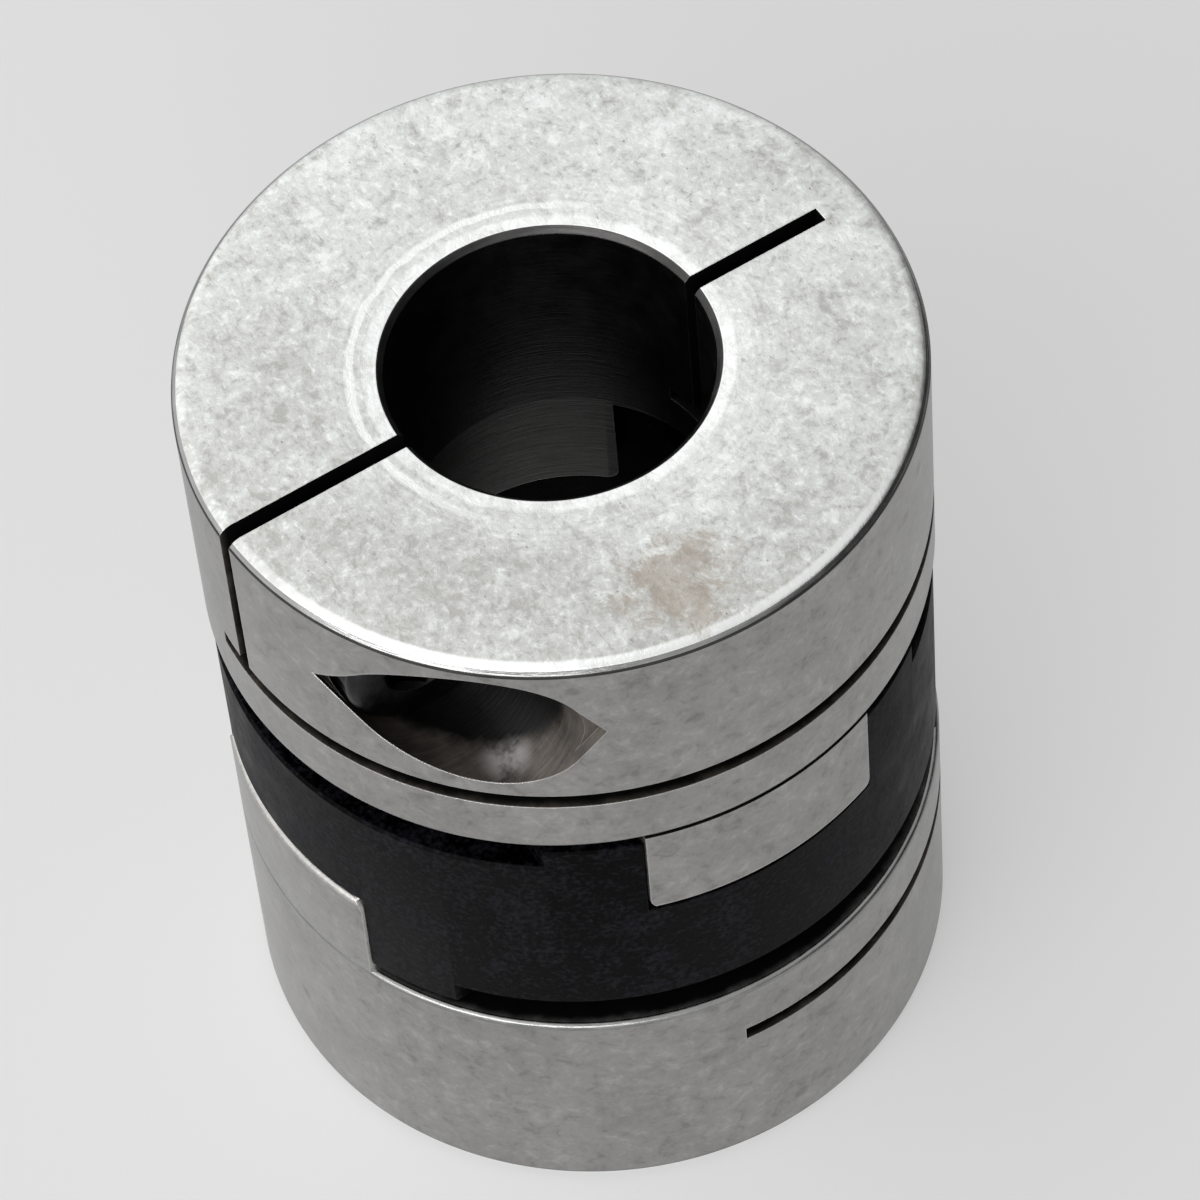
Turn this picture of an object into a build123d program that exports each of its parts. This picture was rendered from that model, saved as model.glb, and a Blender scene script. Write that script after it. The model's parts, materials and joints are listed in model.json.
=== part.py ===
from build123d import *
import os

# Oldham shaft coupling with two clamp hubs and a sliding centre disc, in millimetres.
# The shaft axis is Z and the lower hub's outer face lies at z = 0. The lower hub's tenon
# runs along X and the upper hub's along Y, so that the two cross at the disc.

# Hub: one piece turned, milled and sawn from aluminium bar
outside_diameter = 25.0
bore_diameter = 11.0
relief_depth = 0.45
relief_reach = 0.75
jaw_height = 7.0
cross_slot_width = 0.65
cross_slot_reach = 1.5
flange_thickness = 2.4
slit_width = 0.6
hinge_wall = 1.8
tenon_width = 8.8
tenon_height = 4.35
rim_chamfer = 0.2
bore_chamfer = 0.2
flange_chamfer = 0.25
tenon_edge_radius = 0.2

# Clamp screw: socket head cap screw, size 3
thread_diameter = 3.0
screw_length = 10.0
head_diameter = 5.5
head_height = 3.0
hex_across_flats = 2.5
hex_depth = 1.5
head_edge_radius = 0.3
tip_chamfer = 0.4
seat_wall = 2.2
bore_to_counterbore = 0.25
head_clearance = 0.1
shank_clearance = 0.15
thread_clearance = 0.03

# Centre disc: black engineering plastic, machined with two crossed slots
slide_travel = 1.0
disc_undercut = 0.1
web_thickness = 2.2
land_width = 2.9
land_height = 0.95
land_end_chamfer = 0.2
disc_edge_chamfer = 0.1
slot_corner_chamfer = 0.2
slot_side_clearance = 0.05
tip_gap_below = 0.2
tip_gap_above = 0.2
land_gap_below = 0.5

# Sizes that follow from those above
outer_radius = outside_diameter / 2
bore_radius = bore_diameter / 2
flange_start = jaw_height + cross_slot_width
hub_length = flange_start + flange_thickness
flange_gap = 2 * tenon_height + web_thickness + tip_gap_below + tip_gap_above
total_length = 2 * hub_length + flange_gap
counterbore_radius = head_diameter / 2 + head_clearance
screw_offset = bore_radius + bore_to_counterbore + counterbore_radius
seat_distance = slit_width / 2 + seat_wall
slit_length = 2 * outer_radius - hinge_wall
disc_radius = outer_radius - disc_undercut
disc_middle = hub_length + tenon_height + tip_gap_below + web_thickness / 2
disc_height = 2 * (disc_middle - hub_length - land_gap_below)
disc_body_height = disc_height - 2 * land_height
slot_width = tenon_width + 2 * slot_side_clearance

# Each hub is built inwards from its outer face. The face's x axis runs along the tenon,
# to the side of the screw's head, and its y axis to the open end of the clamp slit.
lower_face = Plane(origin=(0, 0, 0), x_dir=(1, 0, 0), z_dir=(0, 0, 1))
upper_face = Plane(origin=(0, 0, total_length), x_dir=(0, -1, 0), z_dir=(0, 0, -1))


def screw_plane(outer_face):
    """Plane across the clamp screw at the slit's middle, facing the screw's head."""
    centre = Vector(0, screw_offset, jaw_height / 2)
    return Plane(
        origin=outer_face.from_local_coords(centre),
        x_dir=outer_face.y_dir,
        z_dir=outer_face.x_dir,
    )


def clamp_hub(name, outer_face):
    """A flange with a split clamp collar behind it and a tenon across its inner face."""
    hub_axis = Axis(outer_face.origin, outer_face.z_dir)
    screw = screw_plane(outer_face)
    with BuildPart() as hub:
        with BuildSketch(outer_face):
            Circle(outer_radius)
        extrude(amount=hub_length)
        chamfer(hub.edges().filter_by(GeomType.CIRCLE).sort_by(hub_axis)[0], rim_chamfer)
        chamfer(hub.edges().filter_by(GeomType.CIRCLE).sort_by(hub_axis)[-1], flange_chamfer)

        # The tenon keeps the full diameter, past the groove that the flange's chamfer leaves
        with BuildSketch(outer_face.offset(hub_length)):
            Circle(outer_radius)
            Rectangle(outside_diameter, tenon_width, mode=Mode.INTERSECT)
        extrude(amount=tenon_height)
        fillet(hub.faces().sort_by(hub_axis)[-1].edges(), tenon_edge_radius)

        with BuildSketch(outer_face):
            Circle(bore_radius)
        extrude(amount=hub_length + tenon_height, mode=Mode.SUBTRACT)
        outer_edges = hub.edges().filter_by(GeomType.CIRCLE).group_by(hub_axis)[0]
        chamfer(outer_edges.sort_by(SortBy.RADIUS)[0], bore_chamfer)

        # The bore is relieved from just inside the flange to the tenon's tip
        with BuildSketch(outer_face.offset(hub_length - relief_reach)):
            Circle(bore_radius + relief_depth)
        extrude(amount=relief_reach + tenon_height, mode=Mode.SUBTRACT)

        # The slit crosses the centre and stops at the wall that the jaw hinges on
        with BuildSketch(outer_face):
            with Locations((0, hinge_wall / 2)):
                Rectangle(slit_width, slit_length)
        extrude(amount=flange_start, mode=Mode.SUBTRACT)

        # The cross slot frees the jaw from the flange
        with BuildSketch(outer_face.offset(jaw_height)):
            with Locations((-cross_slot_reach, 0)):
                Rectangle(outside_diameter, outside_diameter, align=(Align.MIN, Align.CENTER))
        extrude(amount=cross_slot_width, mode=Mode.SUBTRACT)

        with Locations(screw.offset(outer_radius)):
            CounterBoreHole(
                radius=thread_diameter / 2 + shank_clearance,
                counter_bore_radius=counterbore_radius,
                counter_bore_depth=outer_radius - seat_distance,
                depth=outer_radius,
            )
        with Locations(screw):
            Hole(radius=thread_diameter / 2, depth=outer_radius)
    hub.part.label = name
    export_step(hub.part, f"parts/{name}.step")


def clamp_screw(name, outer_face):
    """The socket head screw that closes the slit, with a plain shank for its thread."""
    screw = screw_plane(outer_face)
    screw_axis = Axis(screw.origin, screw.z_dir)
    with BuildPart() as bolt:
        with BuildSketch(screw.offset(seat_distance - screw_length)):
            Circle(thread_diameter / 2 - thread_clearance)
        extrude(amount=screw_length)
        chamfer(bolt.edges().filter_by(GeomType.CIRCLE).sort_by(screw_axis)[0], tip_chamfer)
        with BuildSketch(screw.offset(seat_distance)):
            Circle(head_diameter / 2)
        extrude(amount=head_height)
        fillet(bolt.edges().filter_by(GeomType.CIRCLE).sort_by(screw_axis)[-1], head_edge_radius)
        with BuildSketch(screw.offset(seat_distance + head_height)):
            RegularPolygon(hex_across_flats / 2, 6, major_radius=False)
        extrude(amount=-hex_depth, mode=Mode.SUBTRACT)
    bolt.part.label = name
    export_step(bolt.part, f"parts/{name}.step")


os.makedirs("parts", exist_ok=True)
clamp_hub("lower_hub", lower_face)
clamp_hub("upper_hub", upper_face)
clamp_screw("lower_clamp_screw", lower_face)
clamp_screw("upper_clamp_screw", upper_face)

# The disc's two sides, each with its x axis along the tenon that slides there
lower_side = Plane(origin=(0, 0, disc_middle), x_dir=(1, 0, 0), z_dir=(0, 0, -1))
upper_side = Plane(origin=(0, 0, disc_middle), x_dir=(0, -1, 0), z_dir=(0, 0, 1))

with BuildPart() as centre_disc:
    with BuildSketch(lower_side.offset(-disc_height / 2)):
        Circle(disc_radius)
    extrude(amount=disc_height)
    chamfer(centre_disc.edges().filter_by(GeomType.CIRCLE), land_end_chamfer)
    for side in (lower_side, upper_side):
        # The rim is lowered on both sides of the two lands that flank the slot
        with BuildSketch(side.offset(disc_body_height / 2)):
            Circle(outer_radius)
            Rectangle(outside_diameter, slot_width + 2 * land_width, mode=Mode.SUBTRACT)
        extrude(amount=disc_height, mode=Mode.SUBTRACT)
        lowered_faces = centre_disc.faces(Select.LAST).filter_by(Axis.Z)
        chamfer(lowered_faces.edges().filter_by(GeomType.CIRCLE), disc_edge_chamfer)
    for side in (lower_side, upper_side):
        with BuildSketch(side.offset(web_thickness / 2)):
            Rectangle(2 * disc_radius, slot_width)
        extrude(amount=disc_height / 2, mode=Mode.SUBTRACT)
        chamfer(centre_disc.edges(Select.LAST).filter_by(Axis.Z), slot_corner_chamfer)
    # Room at the centre for shaft ends that are out of line by the slide's travel
    with BuildSketch(Plane.XY):
        Circle(bore_radius + slide_travel)
    extrude(amount=total_length, mode=Mode.SUBTRACT)
centre_disc.part.label = "centre_disc"
export_step(centre_disc.part, "parts/centre_disc.step")
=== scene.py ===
import json
import math
import bmesh
import bpy
from mathutils import Matrix, Vector


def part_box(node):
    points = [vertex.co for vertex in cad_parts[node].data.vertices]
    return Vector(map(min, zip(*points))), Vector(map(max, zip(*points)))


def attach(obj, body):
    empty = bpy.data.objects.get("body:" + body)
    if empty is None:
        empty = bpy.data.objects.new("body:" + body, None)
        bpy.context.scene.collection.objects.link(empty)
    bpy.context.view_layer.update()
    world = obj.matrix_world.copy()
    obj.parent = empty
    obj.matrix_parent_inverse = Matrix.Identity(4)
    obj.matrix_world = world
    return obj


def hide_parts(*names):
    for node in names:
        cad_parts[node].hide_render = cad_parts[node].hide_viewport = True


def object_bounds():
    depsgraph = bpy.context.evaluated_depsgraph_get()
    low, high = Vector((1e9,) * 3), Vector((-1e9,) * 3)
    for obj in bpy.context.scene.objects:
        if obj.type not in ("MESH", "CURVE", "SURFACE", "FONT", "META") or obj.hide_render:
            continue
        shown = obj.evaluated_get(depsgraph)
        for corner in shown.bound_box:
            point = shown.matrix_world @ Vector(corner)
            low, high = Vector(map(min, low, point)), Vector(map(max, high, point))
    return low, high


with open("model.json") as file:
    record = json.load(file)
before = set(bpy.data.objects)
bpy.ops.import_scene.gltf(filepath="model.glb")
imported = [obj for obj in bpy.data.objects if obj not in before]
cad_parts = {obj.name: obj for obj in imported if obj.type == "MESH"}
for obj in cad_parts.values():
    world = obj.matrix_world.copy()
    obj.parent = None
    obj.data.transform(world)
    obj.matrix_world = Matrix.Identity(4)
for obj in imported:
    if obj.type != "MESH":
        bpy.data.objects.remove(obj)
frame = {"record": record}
cad_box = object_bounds()

# Clamp hubs. Each is one piece of aluminium bar: turned and bored on a lathe, its tenon
# milled across the inner face, then sawn with a slit and a cross slot that free a clamp jaw.
# The two are alike, and the upper one is turned over and a quarter turn round.
MM = 0.001
hub_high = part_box("lower_hub")[1]
outer_radius = hub_high.x / MM
tenon_top = hub_high.z / MM
total_length = cad_box[1].z / MM

lower_bore = frame["record"]["mounts"][0]["dims"]
bore_radius = lower_bore["r_mm"]
bore_chamfer = 0.2
bore_edge_radius = 0.04
relief_depth = 0.45
relief_start = bore_chamfer + lower_bore["length_mm"]
relief_radius = bore_radius + relief_depth
relief_edge_radius = 0.05

rim_width = 0.45
rim_depth = 0.3
rim_roll_radius = 0.5
rim_roll_depth = 0.06
rim_bevel_radius = 0.35
rim_line_width = 0.05
rim_line_height = 0.09
rim_line_radius = 0.04
rim_edge_radius = 0.1

jaw_height = 7.0
cross_slot_width = 0.65
cross_slot_reach = 1.5
slit_width = 0.6
slit_wall = 1.8

flange_thickness = 2.4
flange_face = jaw_height + cross_slot_width + flange_thickness
flange_edge_radius = 0.2
groove_width = 0.02
groove_edge_radius = 0.03
tenon_width = 8.8
tenon_tip_radius = 0.2
tenon_corner_radius = 0.5
tenon_bore_edge_radius = 0.06

counterbore_radius = 2.85
counterbore_edge_radius = 0.1
clearance_hole_radius = 1.65
clearance_hole_edge_radius = 0.05
thread_pitch = 0.5
tap_minor_radius = 1.25
tap_major_radius = 1.5
seat_wall = 2.2
seat_distance = slit_width / 2 + seat_wall
bore_to_counterbore = 0.25
screw_offset = bore_radius + bore_to_counterbore + counterbore_radius
screw_place = (Matrix.Translation((0, screw_offset, jaw_height / 2))
               @ Matrix.Rotation(math.pi / 2, 4, "Y"))


class Wire:
    """Output of a shader node. A sum written with wires adds the nodes that work it out."""

    def __init__(self, tree, socket):
        self.tree = tree
        self.socket = socket

    def node(self, kind, settings, sockets, output=0):
        """Adds a node beside this wire: its settings first, then what each socket holds."""
        made = self.tree.nodes.new(kind)
        for name, value in settings.items():
            setattr(made, name, value)
        for name, value in sockets.items():
            if isinstance(value, Wire):
                self.tree.links.new(value.socket, made.inputs[name])
            else:
                made.inputs[name].default_value = value
        return Wire(self.tree, made.outputs[output])

    def __add__(self, other):
        return self.node("ShaderNodeMath", {"operation": "ADD"}, {0: self, 1: other})

    def __sub__(self, other):
        return self.node("ShaderNodeMath", {"operation": "SUBTRACT"}, {0: self, 1: other})

    def __rsub__(self, other):
        return self.node("ShaderNodeMath", {"operation": "SUBTRACT"}, {0: other, 1: self})

    def __mul__(self, other):
        return self.node("ShaderNodeMath", {"operation": "MULTIPLY"}, {0: self, 1: other})

    __radd__ = __add__
    __rmul__ = __mul__

    def over(self, low, high):
        """Mask that rises from 0 to 1 as this value goes from low to high."""
        ends = {"Value": self, "From Min": low, "From Max": high}
        return self.node("ShaderNodeMapRange", {"interpolation_type": "SMOOTHSTEP"}, ends)

    def vector(self, operation, other, output=0):
        """Vector maths on this place or direction and another one."""
        return self.node("ShaderNodeVectorMath", {"operation": operation}, {0: self, 1: other}, output)

    def stretched(self, x, y, z):
        """This place, measured in steps of a different length along each axis."""
        return self.vector("MULTIPLY", (x, y, z))

    def along(self, direction):
        """How far this place or direction lies along another one."""
        return self.vector("DOT_PRODUCT", direction, "Value")

    def from_axis(self):
        """Distance of this place from the Z axis."""
        return self.stretched(1, 1, 0).vector("DISTANCE", (0, 0, 0), "Value")

    def near(self, centre, inside, outside):
        """Mask of a round patch about a point, which fades between two distances."""
        return 1 - self.vector("DISTANCE", centre, "Value").over(inside, outside)

    def mottle(self, scale, layers=4, strength=0.6, swirl=0.0):
        """Cloudy value about 0.5, with scale blotches to a millimetre at this place, finer
        layers of a given strength in them, and a swirl that pulls them out of shape."""
        return self.node("ShaderNodeTexNoise", {}, {
            "Vector": self,
            "Scale": scale,
            "Detail": layers,
            "Roughness": strength,
            "Distortion": swirl,
        })

    def swing(self, amount):
        """A cloudy value's swing about 0, made larger or smaller."""
        return (self - 0.5) * amount

    def dots(self, scale, size, share):
        """Mask of scattered round dots: how close they lie, how large and what share is kept."""
        cells = {"Vector": self, "Scale": scale}
        near = 1 - self.node("ShaderNodeTexVoronoi", {}, cells).over(size * 0.4, size)
        middle = self.node("ShaderNodeTexVoronoi", {}, cells, "Position")
        chance = self.node("ShaderNodeTexWhiteNoise", {}, {"Vector": middle})
        return near * chance.over(1 - share, 1.001 - share)

    def tint(self, first, second):
        """Colour that goes from the first to the second as this value goes from 0 to 1."""
        start, end = ((*each, 1) if isinstance(each, tuple) else each for each in (first, second))
        return self.node("ShaderNodeMix", {"data_type": "RGBA"}, {0: self, 6: start, 7: end}, 2)


def finish(name, metallic, anisotropic=0.0, specular=0.5):
    """New material, and the wire of each point's place on the piece in millimetres."""
    made = bpy.data.materials.new(name)
    made.use_nodes = True
    shader = made.node_tree.nodes["Principled BSDF"]
    shader.inputs["Metallic"].default_value = metallic
    shader.inputs["Anisotropic"].default_value = anisotropic
    shader.inputs["Specular IOR Level"].default_value = specular
    place = Wire(made.node_tree, made.node_tree.nodes.new("ShaderNodeTexCoord").outputs["Object"])
    return made, place.node("ShaderNodeVectorMath", {"operation": "SCALE"}, {0: place, "Scale": 1 / MM})


def edges_broken(place, radius):
    """The surface's slope with its edges broken to a radius, and a mask of those edges."""
    slope = place.node("ShaderNodeBevel", {"samples": 3}, {"Radius": radius * MM})
    flat = place.node("ShaderNodeNewGeometry", {}, {}, "Normal")
    return slope, (1 - slope.along(flat)).over(0.02, 0.25)


def lay_on(material, colour, roughness, relief, slope):
    """Gives a material its colour, its roughness and its relief in millimetres."""
    raised = {"Height": relief, "Distance": MM, "Normal": slope}
    shader = material.node_tree.nodes["Principled BSDF"]
    bumped = relief.node("ShaderNodeBump", {}, raised)
    for name, wire in (("Base Color", colour), ("Roughness", roughness), ("Normal", bumped)):
        material.node_tree.links.new(wire.socket, shader.inputs[name])
    return material


def turned_finish():
    """Satin outside of the bar: faint lathe rings under a tumbled skin, with a few dents."""
    # These colours are about half as bright as the face's: painted shade on the side walls
    dull = (0.226, 0.221, 0.216)
    pale = (0.42, 0.414, 0.409)
    worn = (0.7, 0.69, 0.68)
    made, place = finish("turned_aluminium", 1, anisotropic=0.15)
    slope, edge = edges_broken(place, 0.1)
    cloud = place.mottle(0.35, 5, 0.65)
    patches = place.mottle(1.4, 5, 0.68, 0.5)
    grain = place.mottle(4.2, 3, 0.65, 0.4)
    rings = place.stretched(0.4, 0.4, 9).mottle(1, 2)
    dents = place.dots(0.42, 0.16, 0.35)
    bright = patches.over(0.56, 0.66) * 0.2 + grain.over(0.6, 0.7) * 0.1
    dark = patches.over(0.44, 0.34) * 0.2 + grain.over(0.4, 0.3) * 0.12 + dents * 0.35
    tone = cloud.swing(0.9) + patches.swing(0.9) + grain.swing(0.5) + rings.swing(0.12)
    colour = edge.tint((tone + bright - dark + 0.5).tint(dull, pale), worn)
    roughness = 0.36 + patches.swing(0.25) - edge * 0.08
    relief = patches * 0.02 + rings * 0.0015 + grain * 0.008 - dents * 0.02
    return lay_on(made, colour, roughness, relief, slope)


def faced_finish(stained):
    """Outer face, turned flat and tumbled: blotchy, pitted and scratched, with a bright lip
    round the bore, painted highlights on a ring round it and along the rim on one side, and a
    painted shade that darkens it towards one side. A stain is optional."""
    dull = (0.44, 0.435, 0.415)
    pale = (0.81, 0.835, 0.82)
    rubbed = (0.88, 0.895, 0.885)
    scratched = (0.33, 0.32, 0.30)
    brown = (0.33, 0.275, 0.22)
    worn = (0.93, 0.93, 0.92)
    made, place = finish("faced_aluminium", 1)
    slope, edge = edges_broken(place, 0.09)
    cloud = place.mottle(0.2, 4, 0.55)
    patches = place.mottle(1.1, 5, 0.68, 0.3)
    grain = place.mottle(3.0, 4, 0.72, 0.3)

    # Bright places: a lip that the boring tool rolled up and a halo round it, and painted
    # highlights on a ring round the lip and on the border, each bright on one side only
    distance = place.from_axis()
    wavy = distance + place.mottle(0.7, 4, 0.6).swing(0.5) - bore_radius
    inner_lip = (1 - wavy.over(0.55, 0.75)) * (0.45 + patches.over(0.4, 0.6) * 0.4)
    # Painted highlight on a ring round the lip, on one side only
    ring_highlight = wavy.over(0.92, 1.0) * (1 - wavy.over(1.16, 1.3))
    ring_highlight = ring_highlight * place.along((-0.74, 0.67, 0)).over(-1, 4)
    halo = 1 - (distance - bore_radius).over(0.4, 3.1)
    # Painted highlight along the rim, on one side only
    rim_highlight = (distance + patches.swing(0.1) - outer_radius).over(-0.55, -0.4)
    rim_highlight = rim_highlight * place.along((0.94, 0.34, 0)).over(3, 10.5)
    burnish_and_highlights = inner_lip + ring_highlight * 0.75 + halo * 0.2 + rim_highlight * 0.85

    # Fine marks: the facing tool's feed near the bore, scratches in two directions, and pits
    feed = place.node("ShaderNodeCombineXYZ", {}, {"X": distance}).mottle(8, 3)
    rings = (feed - 0.5) * (1 - (distance - bore_radius).over(1, 4))
    scratches = place.stretched(0.25, 7, 0).mottle(1, 2).over(0.68, 0.72)
    cross_scratches = place.stretched(5, 0.3, 0).mottle(1, 2).over(0.69, 0.73)
    marks = (scratches + cross_scratches) * cloud.over(0.45, 0.6)
    pits = place.dots(0.9, 0.11, 0.3) + place.dots(2.3, 0.13, 0.12)

    bright = patches.over(0.55, 0.64) * 0.2 + grain.over(0.56, 0.66) * 0.2
    dark = patches.over(0.45, 0.36) * 0.22 + grain.over(0.43, 0.33) * 0.28 + pits * 0.4
    tone = cloud.swing(1.1) + patches.swing(0.9) + grain.swing(1.2) + rings * 0.7
    # The tone grows darker towards one side of the face: painted shade
    tone = tone + bright - dark + place.along((-0.011, -0.012, 0)) + 0.48
    # The lip's burnish and the painted highlights take the rubbed colour
    colour = burnish_and_highlights.tint(tone.tint(dull, pale), rubbed)
    colour = (marks * 0.3).tint(colour, scratched)
    if stained:
        ragged = place.mottle(0.9, 5, 0.75, 1.0).swing(3.4) + place.near((10.0, 1.2, 0), 0.5, 3.4)
        colour = (ragged.over(0.35, 1.1) * 0.6).tint(colour, brown)
    colour = edge.tint(colour, worn)
    roughness = 0.34 + patches.swing(0.3) - burnish_and_highlights * 0.06 + marks * 0.06
    relief = grain * 0.012 + patches * 0.03 + rings * 0.006 - pits * 0.012 - marks * 0.006
    return lay_on(made, colour, roughness, relief, slope)


def cut_finish(name, dull, pale, bare_and_lit, roughness, lines, mouth=None, painted_light_spot=None):
    """Finish of a cut surface: the tool's lines, measured in steps along each axis, smears,
    and bare worn edges. A mouth gives two depths under the hub's outside: a painted shade is
    black below the first and fades out by the second. A painted light spot is a paler place."""
    painted_shade_black = (0.003, 0.003, 0.003)
    metallic = 0.5 if mouth else 1
    made, place = finish(name, metallic)
    slope, edge = edges_broken(place, 0.05)
    cloud = place.mottle(0.9, 5, 0.65)
    tracks = place.stretched(*lines).mottle(1, 3)
    colour = (cloud.swing(1.4) + tracks.swing(1.2) + 0.5).tint(dull, pale)
    # A painted pool of light about the given point, in the bare colour
    if painted_light_spot:
        colour = (place.near(painted_light_spot, 0.3, 1.1) * cloud.over(0.3, 0.55)).tint(colour, bare_and_lit)
    colour = edge.tint(colour, bare_and_lit)
    # Painted shade: the colour goes black deeper under the hub's outside
    if mouth:
        shade_depth = place.from_axis() + cloud.swing(mouth[0] - mouth[1]) - outer_radius
        colour = shade_depth.over(-mouth[0], -mouth[1]).tint(painted_shade_black, colour)
    return lay_on(made, colour, roughness + cloud.swing(0.3), tracks * 0.012 + cloud * 0.008, slope)


turned = turned_finish()
# Near-black colours: painted shade inside the bore. The relief's are a little paler: painted light that
# reaches in there
bored = cut_finish(
    "bored_aluminium", (0.036, 0.035, 0.035), (0.082, 0.08, 0.079), (0.4, 0.4, 0.39),
    roughness=0.36, lines=(0.6, 0.6, 13))
relieved = cut_finish(
    "relieved_aluminium", (0.08, 0.077, 0.075), (0.17, 0.165, 0.16), (0.5, 0.5, 0.49),
    roughness=0.4, lines=(0.6, 0.6, 9))
milled = cut_finish(
    "milled_aluminium", (0.34, 0.33, 0.315), (0.60, 0.59, 0.57), (0.7, 0.69, 0.68),
    roughness=0.34, lines=(0.5, 7, 7))
# Dark, and black further in under the disc: painted shade on the flange seat
seat_cut = cut_finish(
    "flange_seat_aluminium", (0.10, 0.095, 0.09), (0.2, 0.195, 0.19), (0.4, 0.4, 0.39),
    roughness=0.4, lines=(0.5, 7, 7), mouth=(0.5, 0.05))
# The rim's colours are set as dark as the outside's: painted shade
rim_cut = cut_finish(
    "rim_aluminium", (0.2, 0.2, 0.2), (0.36, 0.36, 0.355), (0.6, 0.6, 0.59),
    roughness=0.22, lines=(0.6, 0.6, 14))
# Near black: painted shade in the groove between flange and tenon
groove = cut_finish(
    "groove_aluminium", (0.003, 0.003, 0.003), (0.012, 0.011, 0.01), (0.06, 0.06, 0.06),
    roughness=0.6, lines=(7, 7, 0.6))
# Dark brown, going black further in: painted shade in the slit and the cross slot
sawn = cut_finish(
    "sawn_aluminium", (0.04, 0.034, 0.028), (0.15, 0.13, 0.11), (0.45, 0.44, 0.43),
    roughness=0.5, lines=(7, 7, 0.6), mouth=(0.3, -0.1))
# Dark, going black further in, with a painted pool of light on the lower wall: painted shade and light in
# the counterbore
drilled = cut_finish(
    "drilled_aluminium", (0.05, 0.042, 0.037), (0.17, 0.148, 0.13), (0.4, 0.38, 0.37),
    roughness=0.45, lines=(9, 0.7, 0.7), mouth=(1.7, 1.0), painted_light_spot=(8.7, 7.6, 6.2))


def rounded(corners, arc_steps=4):
    """Outline whose corners (x, y, radius, finish) are turned on their own radius.
    Returns its points and the finish of the stretch that follows each point."""
    points, finishes = [], []
    for before, corner, after in zip(corners[-1:] + corners[:-1], corners, corners[1:] + corners[:1]):
        here, radius = Vector(corner[:2]), corner[2]
        back = (Vector(before[:2]) - here).normalized()
        ahead = (Vector(after[:2]) - here).normalized()
        half_turn = back.angle(ahead) / 2
        centre = here + (back + ahead).normalized() * radius / math.sin(half_turn)
        start = here + back * radius / math.tan(half_turn) - centre
        end = here + ahead * radius / math.tan(half_turn) - centre
        steps = arc_steps if radius else 0
        for step in range(steps + 1):
            spoke = start.lerp(end, step / steps) if steps else start
            points.append(centre + (spoke.normalized() * radius if radius else spoke))
            finishes.append(corner[3] if step == steps else before[3])
    return points, finishes


def piece(name, bm, finishes):
    """Object from a bmesh in millimetres, with one slot for each finish."""
    bmesh.ops.recalc_face_normals(bm, faces=bm.faces)
    mesh = bpy.data.meshes.new(name)
    bm.to_mesh(mesh)
    bm.free()
    for each in finishes:
        mesh.materials.append(each)
    made = bpy.data.objects.new(name, mesh)
    bpy.context.scene.collection.objects.link(made)
    return made


def lathe(name, corners, finishes, steps=288):
    """Solid of revolution about Z from corners (radius, height, corner radius, finish)."""
    points, stretch_finishes = rounded(corners)
    angles = [math.tau * step / steps for step in range(steps)]
    bm = bmesh.new()
    rings = []
    for point in points:
        if point.x == 0:
            rings.append([bm.verts.new((0, 0, point.y))] * steps)
            continue
        spots = [(point.x * math.cos(angle), point.x * math.sin(angle), point.y) for angle in angles]
        rings.append([bm.verts.new(spot) for spot in spots])
    for ring, following, stretch in zip(rings, rings[1:] + rings[:1], stretch_finishes):
        for step in range(steps):
            after = (step + 1) % steps
            around = dict.fromkeys((ring[step], ring[after], following[after], following[step]))
            if len(around) > 2:
                bm.faces.new(around).material_index = stretch
    return piece(name, bm, finishes)


def prism(name, outline, height, cut, placing=Matrix.Identity(4)):
    """Straight block over an outline in the XY plane, moved by a placing matrix."""
    bm = bmesh.new()
    base = bm.faces.new([bm.verts.new((x, y, 0)) for x, y in outline])
    raised = bmesh.ops.extrude_face_region(bm, geom=[base])["geom"]
    lifted = [item for item in raised if isinstance(item, bmesh.types.BMVert)]
    bmesh.ops.translate(bm, vec=(0, 0, height), verts=lifted)
    bm.transform(placing)
    return piece(name, bm, [cut])


def box(name, low, high, cut):
    """Block between two corners."""
    outline = [(low[0], low[1]), (high[0], low[1]), (high[0], high[1]), (low[0], high[1])]
    return prism(name, outline, high[2] - low[2], cut, Matrix.Translation((0, 0, low[2])))


def thread(name, start, end, minor, major, limit, cut, steps=48):
    """Threaded rod about Z from start to end. limit gives the radius allowed at a height,
    as the lowest and the highest, which shapes the two ends."""
    # One turn's form: each corner's share of the pitch, and its radius
    form = ((0.0, minor), (0.12, minor), (0.44, major), (0.56, major), (0.88, minor))
    bm = bmesh.new()
    turns = math.ceil((end - start) / thread_pitch) + 2
    rows = [(share + turn - 1, radius) for turn in range(turns + 1) for share, radius in form]
    columns = []
    for step in range(steps + 1):
        column = []
        for share, radius in rows:
            height = min(max((share + step / steps) * thread_pitch + start, start), end)
            lowest, highest = limit(height)
            reach = min(max(radius, lowest), highest)
            angle = math.tau * step / steps
            column.append(bm.verts.new((reach * math.cos(angle), reach * math.sin(angle), height)))
        columns.append(column)
    for column, following in zip(columns, columns[1:]):
        for row in range(len(rows) - 1):
            bm.faces.new((column[row], following[row], following[row + 1], column[row + 1]))
    weld = 0.0005
    bmesh.ops.remove_doubles(bm, verts=bm.verts, dist=weld)
    bmesh.ops.dissolve_degenerate(bm, edges=bm.edges, dist=weld)
    bmesh.ops.holes_fill(bm, edges=[edge for edge in bm.edges if edge.is_boundary])
    return piece(name, bm, [cut])


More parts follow.
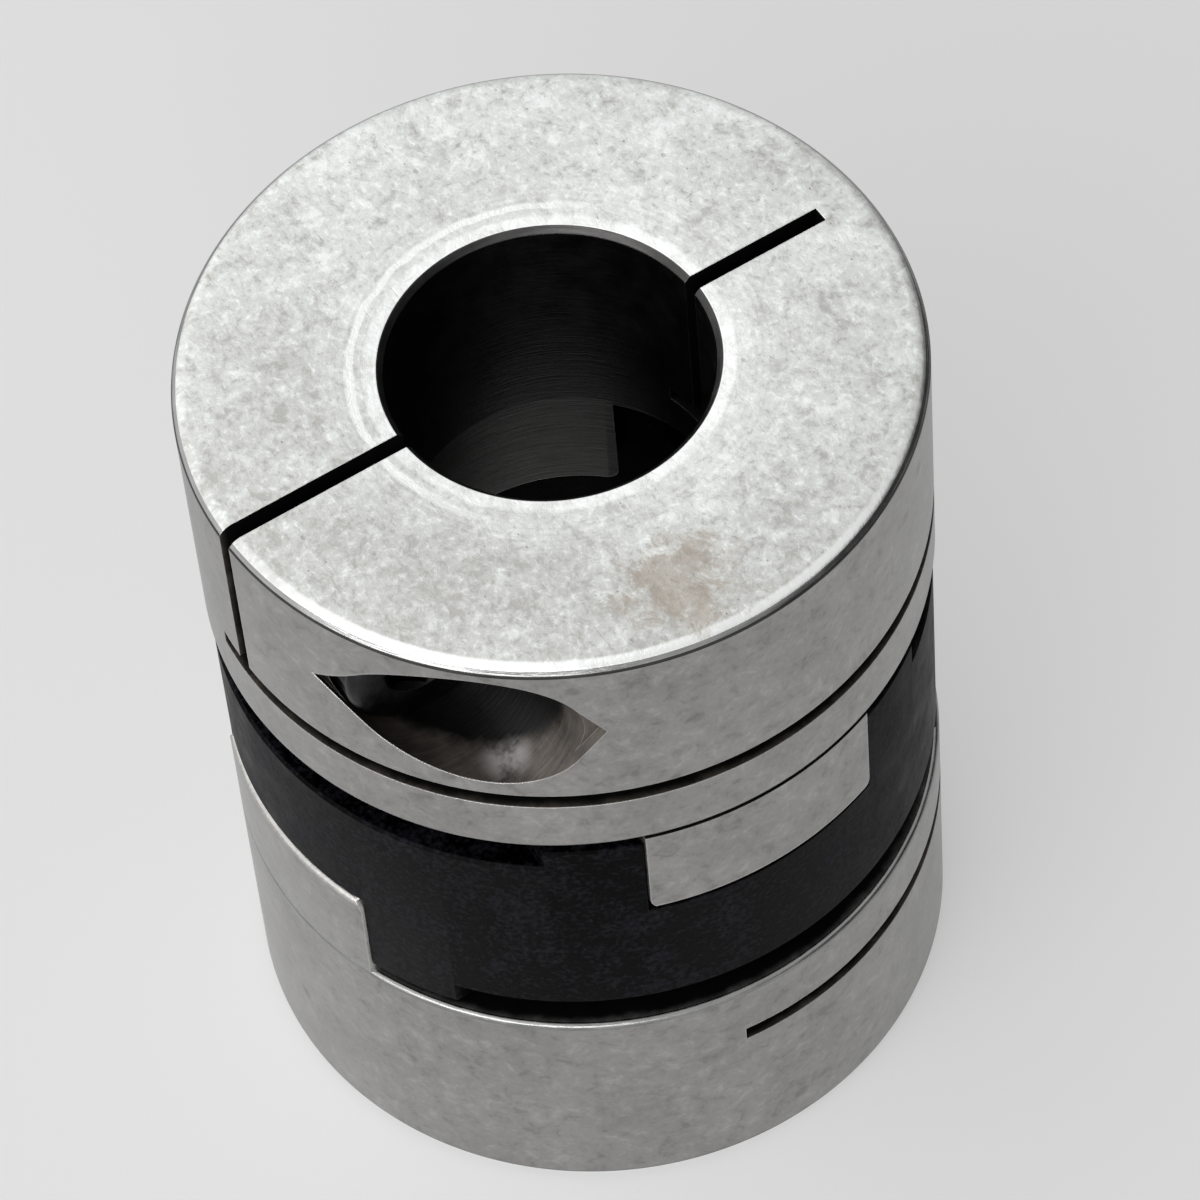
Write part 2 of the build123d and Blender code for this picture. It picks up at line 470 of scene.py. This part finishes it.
def combine(body, tools, operation="DIFFERENCE"):
    """Cuts the tools out of a body, or adds them to it, and takes the tools away."""
    for tool in tools:
        cut = body.modifiers.new(tool.name, "BOOLEAN")
        cut.operation = operation
        cut.solver = "EXACT"
        cut.material_mode = "TRANSFER"
        cut.object = tool
    depsgraph = bpy.context.evaluated_depsgraph_get()
    mesh = bpy.data.meshes.new_from_object(body.evaluated_get(depsgraph))
    body.modifiers.clear()
    body.data = mesh
    for tool in tools:
        bpy.data.objects.remove(tool)
    return body


def dress(made, placing, body, slot, *nodes):
    """Brings a piece to metres and to its place, shades it and hands it to its body."""
    weld = 0.0002
    sharp_from = 32
    bm = bmesh.new()
    bm.from_mesh(made.data)
    bmesh.ops.remove_doubles(bm, verts=bm.verts, dist=weld)
    bmesh.ops.dissolve_degenerate(bm, edges=bm.edges, dist=weld)
    bm.transform(Matrix.Scale(MM, 4))
    bm.to_mesh(made.data)
    bm.free()
    made.data.shade_smooth()
    made.data.set_sharp_from_angle(angle=math.radians(sharp_from))
    made.matrix_world = placing
    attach(made, body)
    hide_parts(*nodes)


# The turned outline goes from the bore's mouth out over the face, along the outside, in over
# the tenon's tip and back down the bore. The face rolls into a bevel and a fine line at the
# rim that takes the bore's near-black finish, a painted dark line, and a groove sets the flange
# off from the tenon. A rounding takes the finish of the stretch before it, so a short seam goes
# ahead of it where the finish changes.
TURNED, FACED, BORED, RELIEVED, MILLED, RIM, GROOVE = range(7)
seam = 0.01
hub_profile = [
    (bore_radius + bore_chamfer, 0, bore_edge_radius, FACED),
    (outer_radius - rim_width, 0, rim_roll_radius, FACED),
    (outer_radius - rim_width / 2, rim_roll_depth, rim_bevel_radius, RIM),
    (outer_radius - rim_line_width, rim_depth - rim_line_height, rim_line_radius, BORED),
    (outer_radius, rim_depth, rim_edge_radius, TURNED),
    (outer_radius, flange_face - flange_edge_radius - seam, 0, RIM),
    (outer_radius, flange_face, flange_edge_radius, GROOVE),
    (outer_radius - flange_edge_radius - groove_width, flange_face, 0, GROOVE),
    (outer_radius, flange_face + groove_width, groove_edge_radius, TURNED),
    (outer_radius, tenon_top - tenon_tip_radius - seam, 0, MILLED),
    (outer_radius, tenon_top, tenon_tip_radius, MILLED),
    (relief_radius, tenon_top, tenon_bore_edge_radius, RELIEVED),
    (relief_radius, relief_start, relief_edge_radius, RELIEVED),
    (bore_radius, relief_start, relief_edge_radius, BORED),
    (bore_radius, bore_chamfer, bore_edge_radius, BORED),
]
quarter_turn = Matrix.Rotation(math.pi / 2, 4, "Z")
turned_round = Matrix.Rotation(math.pi, 4, "Z")


def hub_cuts():
    """Cutters for one hub: the tenon's flanks, the two saw cuts and the clamp screw's holes."""
    reach = outer_radius + 1

    # Two blocks leave the tenon between them. Their outline lies across the tenon, so its x
    # and y become the hub's y and z. Their undersides cut the flange's seat.
    half = tenon_width / 2
    soft = tenon_corner_radius
    flank = [(half, flange_face)]
    for angle in (math.radians(15 * step) for step in range(7)):
        flank.append((half - soft + soft * math.cos(angle), tenon_top - soft + soft * math.sin(angle)))
    flank += [(half - soft, tenon_top + 1), (reach, tenon_top + 1), (reach, flange_face)]
    upright = Matrix(((0, 0, 1, -reach), (1, 0, 0, 0), (0, 1, 0, 0), (0, 0, 0, 1)))
    tools = [
        prism("flank_left", flank, 2 * reach, milled, upright),
        prism("flank_right", flank, 2 * reach, milled, turned_round @ upright),
    ]
    for tool in tools:
        tool.data.materials.append(seat_cut)
        for face in tool.data.polygons:
            face.material_index = int(face.center.z < flange_face + seam)

    slot_end = jaw_height + cross_slot_width
    slit_low = (-slit_width / 2, slit_wall - outer_radius, -1)
    tools.append(box("slit", slit_low, (slit_width / 2, reach, slot_end), sawn))
    cross_low = (-cross_slot_reach, -reach, jaw_height)
    tools.append(box("cross_slot", cross_low, (reach, reach, slot_end), sawn))

    # The clearance hole and the tapped hole meet inside the slit
    meeting = 0.1
    bore = lathe("counterbore", [
        (0, reach, 0, 0),
        (counterbore_radius, reach, 0, 0),
        (counterbore_radius, seat_distance, counterbore_edge_radius, 0),
        (clearance_hole_radius, seat_distance, clearance_hole_edge_radius, 0),
        (clearance_hole_radius, -meeting, 0, 0),
        (0, -meeting, 0, 0),
    ], [drilled], steps=96)
    tap = thread("tapped_hole", -outer_radius - 2 * thread_pitch, 2 * meeting, tap_minor_radius,
                 tap_major_radius, lambda height: (0, tap_major_radius), drilled)

    # The counterbore breaks out of the round side at a slant and tears a point at each end,
    # which is cut from the hub's skin only
    near_tip = 3.25
    far_tip = 3.35
    tip_depth = 0.3
    root = math.radians(28)
    across = counterbore_radius * math.cos(root)
    up = counterbore_radius * math.sin(root)
    torn = [(near_tip, 0), (across, up), (-across, up), (-far_tip, 0), (-across, -up), (across, -up)]
    tips = prism("mouth_tips", torn, reach, drilled, quarter_turn)
    for tool in (bore, tap, tips):
        tool.data.transform(screw_place)
    core_radius = outer_radius - tip_depth
    core_end = jaw_height + 1
    core = [(0, -1, 0, 0), (core_radius, -1, 0, 0), (core_radius, core_end, 0, 0), (0, core_end, 0, 0)]
    combine(tips, [lathe("core", core, [drilled], steps=144)])
    return tools + [bore, tap, tips]


lower_place = Matrix.Identity(4)
upper_place = Matrix(((0, -1, 0, 0), (-1, 0, 0, 0), (0, 0, -1, total_length * MM), (0, 0, 0, 1)))
for name, place, stained in (("lower", lower_place, False), ("upper", upper_place, True)):
    faced = faced_finish(stained)
    finishes = [turned, faced, bored, relieved, milled, rim_cut, groove]
    hub = lathe(name + "_clamp_hub", hub_profile, finishes)
    combine(hub, hub_cuts())
    dress(hub, place, name + "_hub", "hub_aluminium", name + "_hub")

# Clamp screws. M3 socket head cap screws in black oxide steel, with a knurled head sunk in
# the jaw's counterbore. The thread bites in the hub's other half and pulls the slit shut.
thread_radius = 1.47
thread_root = 1.2
thread_stop = 2.0
tip_radius = 1.1
screw_length = 10.0
head_radius = 2.75
head_height = 3.0
head_draft = 0.02
head_foot_radius = 0.1
head_edge_radius = 0.3
hex_across_flats = 2.5
hex_depth = 1.5
pilot_radius = 1.2
pilot_tip = 0.5
lead_in_radius = 1.26
lead_in_depth = 0.22
screw_end = seat_distance - screw_length
head_top = seat_distance + head_height
knurls = 36
knurl_depth = 0.07
knurl_start = seat_distance + 0.4
knurl_end = head_top - 0.5
knurl_run_out = 0.15
shank_overlap = 0.2


def oxide_finish():
    """Black oxide on steel: near black, a little oily, rubbed to bare steel at the edges."""
    dull = (0.012, 0.012, 0.013)
    pale = (0.05, 0.049, 0.05)
    bare_steel = (0.30, 0.29, 0.28)
    made, place = finish("black_oxide_steel", 1)
    slope, edge = edges_broken(place, 0.04)
    cloud = place.mottle(1.5, 5, 0.65)
    grain = place.mottle(8, 2)
    rubbed = edge * cloud.over(0.4, 0.6) * 0.6
    colour = rubbed.tint((cloud.swing(1.5) + grain.swing(0.6) + 0.5).tint(dull, pale), bare_steel)
    return lay_on(made, colour, 0.36 + cloud.swing(0.3), grain * 0.004 + cloud * 0.006, slope)


oxide = oxide_finish()


def screw_head(name):
    """Head with straight knurls on its side."""
    head = lathe(name, [
        (0, seat_distance, 0, 0),
        (head_radius - head_draft, seat_distance, head_foot_radius, 0),
        (head_radius, knurl_start - knurl_run_out, 0, 0),
        (head_radius, knurl_start, 0, 0),
        (head_radius, knurl_end, 0, 0),
        (head_radius, knurl_end + knurl_run_out, 0, 0),
        (head_radius - head_draft, head_top, head_edge_radius, 0),
        (0, head_top, 0, 0),
    ], [oxide], steps=knurls * 6)
    margin = knurl_run_out / 2
    for vertex in head.data.vertices:
        if knurl_start - margin < vertex.co.z < knurl_end + margin:
            wave = 0.5 + 0.5 * math.cos(knurls * math.atan2(vertex.co.y, vertex.co.x))
            vertex.co.xy *= 1 - knurl_depth / head_radius * wave
    return head


def shank_limit(height):
    """The thread starts at a pointed end, and fades out under the head."""
    return 0, min(tip_radius + height - screw_end, thread_root + max(thread_stop - height, 0))


def socket_cuts():
    """Cutters for the hex socket: the hexagon, the drill's cone under it and its lead-in."""
    corner = hex_across_flats / 2 / math.cos(math.pi / 6)
    angles = [math.tau * side / 6 for side in range(6)]
    hexagon = [(corner * math.cos(angle), corner * math.sin(angle)) for angle in angles]
    socket_floor = head_top - hex_depth
    socket = prism("socket", hexagon, 2 * hex_depth, oxide, Matrix.Translation((0, 0, socket_floor)))
    cone_top = socket_floor + 0.05
    cone = [(0, socket_floor - pilot_tip, 0, 0), (pilot_radius, cone_top, 0, 0), (0, cone_top, 0, 0)]
    past = 0.12
    lead_in = [
        (0, head_top - lead_in_depth, 0, 0),
        (lead_in_radius, head_top - lead_in_depth, 0, 0),
        (lead_in_radius + lead_in_depth + past, head_top + past, 0, 0),
        (0, head_top + past, 0, 0),
    ]
    return [
        socket,
        lathe("pilot", cone, [oxide], steps=48),
        lathe("lead_in", lead_in, [oxide], steps=96),
    ]


for name, place in (("lower", lower_place), ("upper", upper_place)):
    screw = screw_head(name + "_screw")
    shank_end = seat_distance + shank_overlap
    shank = thread("shank", screw_end, shank_end, thread_root, thread_radius, shank_limit, oxide)
    combine(screw, [shank], "UNION")
    combine(screw, socket_cuts())
    screw.data.transform(screw_place)
    dress(screw, place, name + "_hub", "screw_steel", name + "_clamp_screw")

# Centre disc. Black engineering plastic, turned and then milled with a slot on each side
# that a tenon slides in. Raised lands flank the slots, and a web between them carries both.
disc_low, disc_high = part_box("centre_disc")
disc_radius = disc_high.x / MM
disc_middle = (disc_low.z + disc_high.z) / 2 / MM
land_top = (disc_high.z - disc_low.z) / 2 / MM
land_height = 0.95
land_width = 2.9
web_thickness = 2.2
slot_side_clearance = 0.05
slot_half = tenon_width / 2 + slot_side_clearance
slide_travel = 1.0
disc_hole_radius = bore_radius + slide_travel
disc_edge_radius = 0.1
disc_edge_chamfer = 0.1


def plastic_finish():
    """Machined plastic: half matt, with fine turned rings, smears and paler scuffed edges."""
    deep = (0.0002, 0.0002, 0.0003)
    pale = (0.0145, 0.0138, 0.019)
    scuffed = (0.014, 0.014, 0.016)
    made, place = finish("black_plastic", 0, specular=0.035)
    slope, edge = edges_broken(place, 0.06)
    cloud = place.mottle(0.7, 6, 0.7)
    grain = place.mottle(5, 3, 0.65)
    rings = place.stretched(0.5, 0.5, 9).mottle(1, 3)
    tone = cloud.swing(3.2) + grain.swing(3.4) + rings.swing(0.3) + 0.15
    colour = edge.tint(tone.tint(deep, pale), scuffed)
    relief = grain * 0.008 + rings * 0.002 + cloud * 0.01
    return lay_on(made, colour, 0.42 + cloud.swing(0.5), relief, slope)


plastic = plastic_finish()
disc = lathe("sliding_disc", [
    (disc_radius, -land_top, disc_edge_radius, 0),
    (disc_radius, land_top, disc_edge_radius, 0),
    (disc_hole_radius, land_top, disc_edge_radius, 0),
    (disc_hole_radius, -land_top, disc_edge_radius, 0),
], [plastic])


def disc_cuts(side):
    """Cutters for one side of the disc: its slot, and the rims beside its lands."""
    reach = disc_radius + 1
    rim_level = land_top - land_height
    rims = lathe("rims", [
        (disc_hole_radius - 1, rim_level, 0, 0),
        (disc_radius - disc_edge_chamfer, rim_level, 0, 0),
        (reach, rim_level - disc_edge_chamfer - 1, 0, 0),
        (reach + 1, land_top + 1, 0, 0),
        (disc_hole_radius - 1, land_top + 1, 0, 0),
    ], [plastic])
    bar = slot_half + land_width
    kept = box("lands", (-reach - 2, -bar, rim_level - 3), (reach + 2, bar, land_top + 2), plastic)
    combine(rims, [kept])
    slot = box("slot", (-reach, -slot_half, web_thickness / 2), (reach, slot_half, land_top + 1), plastic)
    for tool in (rims, slot):
        tool.data.transform(side)
    return [rims, slot]


turned_over = Matrix.Rotation(math.pi, 4, "X")
combine(disc, disc_cuts(quarter_turn) + disc_cuts(turned_over))
dress(disc, Matrix.Translation((0, 0, disc_middle * MM)), "centre_disc", "disc_plastic", "centre_disc")

# Studio. A plain white floor under an even white sky that is dim low down on the right, with a
# large soft lamp on the left and a strip in front that picks out the edges. Metal mirrors the
# same floor and sky as the eye sees.
floor_size = 4
floor_white = 0.88
floor_glow = 0.4
sky_level = 0.22
sky_seen = 0.9
dim_side = (0.92, -0.39, 0)
dim_share = 0.9


def seen_directly(wire):
    """Mask of the rays that the eye, a mirror or a pane sends straight to what they show."""
    mask = wire.node("ShaderNodeLightPath", {}, {}, "Is Camera Ray")
    for ray in ("Is Glossy Ray", "Is Transmission Ray"):
        also = wire.node("ShaderNodeLightPath", {}, {}, ray)
        mask = wire.node("ShaderNodeMath", {"operation": "MAXIMUM"}, {0: mask, 1: also})
    return mask


floor_finish = bpy.data.materials.new("floor_white")
floor_finish.use_nodes = True
floor_tree = floor_finish.node_tree
floor_shader = floor_tree.nodes["Principled BSDF"]
floor_shader.inputs["Base Color"].default_value = (floor_white, floor_white, floor_white, 1)
floor_shader.inputs["Roughness"].default_value = 0.9
floor_shader.inputs["Specular IOR Level"].default_value = 0
lit = Wire(floor_tree, floor_shader.outputs[0])
glow = lit.node("ShaderNodeEmission", {}, {"Color": (1, 1, 1, 1), "Strength": 1.0})
shown = lit.node("ShaderNodeMixShader", {}, {0: seen_directly(lit) * floor_glow, 1: lit, 2: glow})
floor_tree.links.new(shown.socket, floor_tree.nodes["Material Output"].inputs["Surface"])
bpy.ops.mesh.primitive_plane_add(size=floor_size)
floor = bpy.context.object
floor.name = "floor"
floor.data.materials.append(floor_finish)

sky = bpy.data.worlds.new("studio")
bpy.context.scene.world = sky
sky.use_nodes = True
background = sky.node_tree.nodes["Background"]
background.inputs["Color"].default_value = (1, 1, 1, 1)
heading = Wire(sky.node_tree, sky.node_tree.nodes.new("ShaderNodeTexCoord").outputs["Generated"])
dim = heading.along(dim_side).over(0.3, 0.8) * (1 - heading.along((0, 0, 1)).over(0.5, 0.8))
strength = (seen_directly(heading) * (sky_seen - sky_level) + sky_level) * (1 - dim * dim_share)
sky.node_tree.links.new(strength.socket, background.inputs["Strength"])

# Each lamp: its azimuth from the camera, its elevation, its width and height, and its level,
# which is the brightness that it would give a white floor if it were small
camera_azimuth = -28.15
camera_elevation = 54.45
lamp_distance = 0.6
lamps = (("key", -100, 38, 1.6, 1.6, 0.6), ("front", -28, 34, 0.8, 0.16, 0.26))
for name, azimuth, elevation, width, height, level in lamps:
    lamp = bpy.data.lights.new(name, "AREA")
    lamp.shape = "ELLIPSE"
    lamp.size = width
    lamp.size_y = height
    lamp.energy = level * math.pi ** 2 * lamp_distance ** 2 / math.sin(math.radians(elevation))
    hung = bpy.data.objects.new(name, lamp)
    bpy.context.scene.collection.objects.link(hung)
    swing = (Matrix.Rotation(math.radians(camera_azimuth + azimuth), 4, "Z")
             @ Matrix.Rotation(math.radians(90 - elevation), 4, "X"))
    middle = Matrix.Translation((0, 0, total_length * MM / 2))
    hung.matrix_world = middle @ swing @ Matrix.Translation((0, 0, lamp_distance))
    hung.visible_camera = False

camera_roll = -5.5
camera_data = bpy.data.cameras.new("camera")
camera_data.sensor_width = 36
camera_data.lens = 192.45
camera_data.clip_start = 0.01
camera = bpy.data.objects.new("camera", camera_data)
bpy.context.scene.collection.objects.link(camera)
turn = (Matrix.Rotation(math.radians(camera_azimuth), 4, "Z")
        @ Matrix.Rotation(math.radians(90 - camera_elevation), 4, "X")
        @ Matrix.Rotation(math.radians(camera_roll), 4, "Z"))
aim = Vector((0, 0, 17.853)) * MM
stand_off = Vector((0.904, 0, 221.42)) * MM
camera.matrix_world = Matrix.Translation(aim + turn @ stand_off) @ turn
bpy.context.scene.camera = camera
bpy.context.scene.view_settings.view_transform = "Standard"
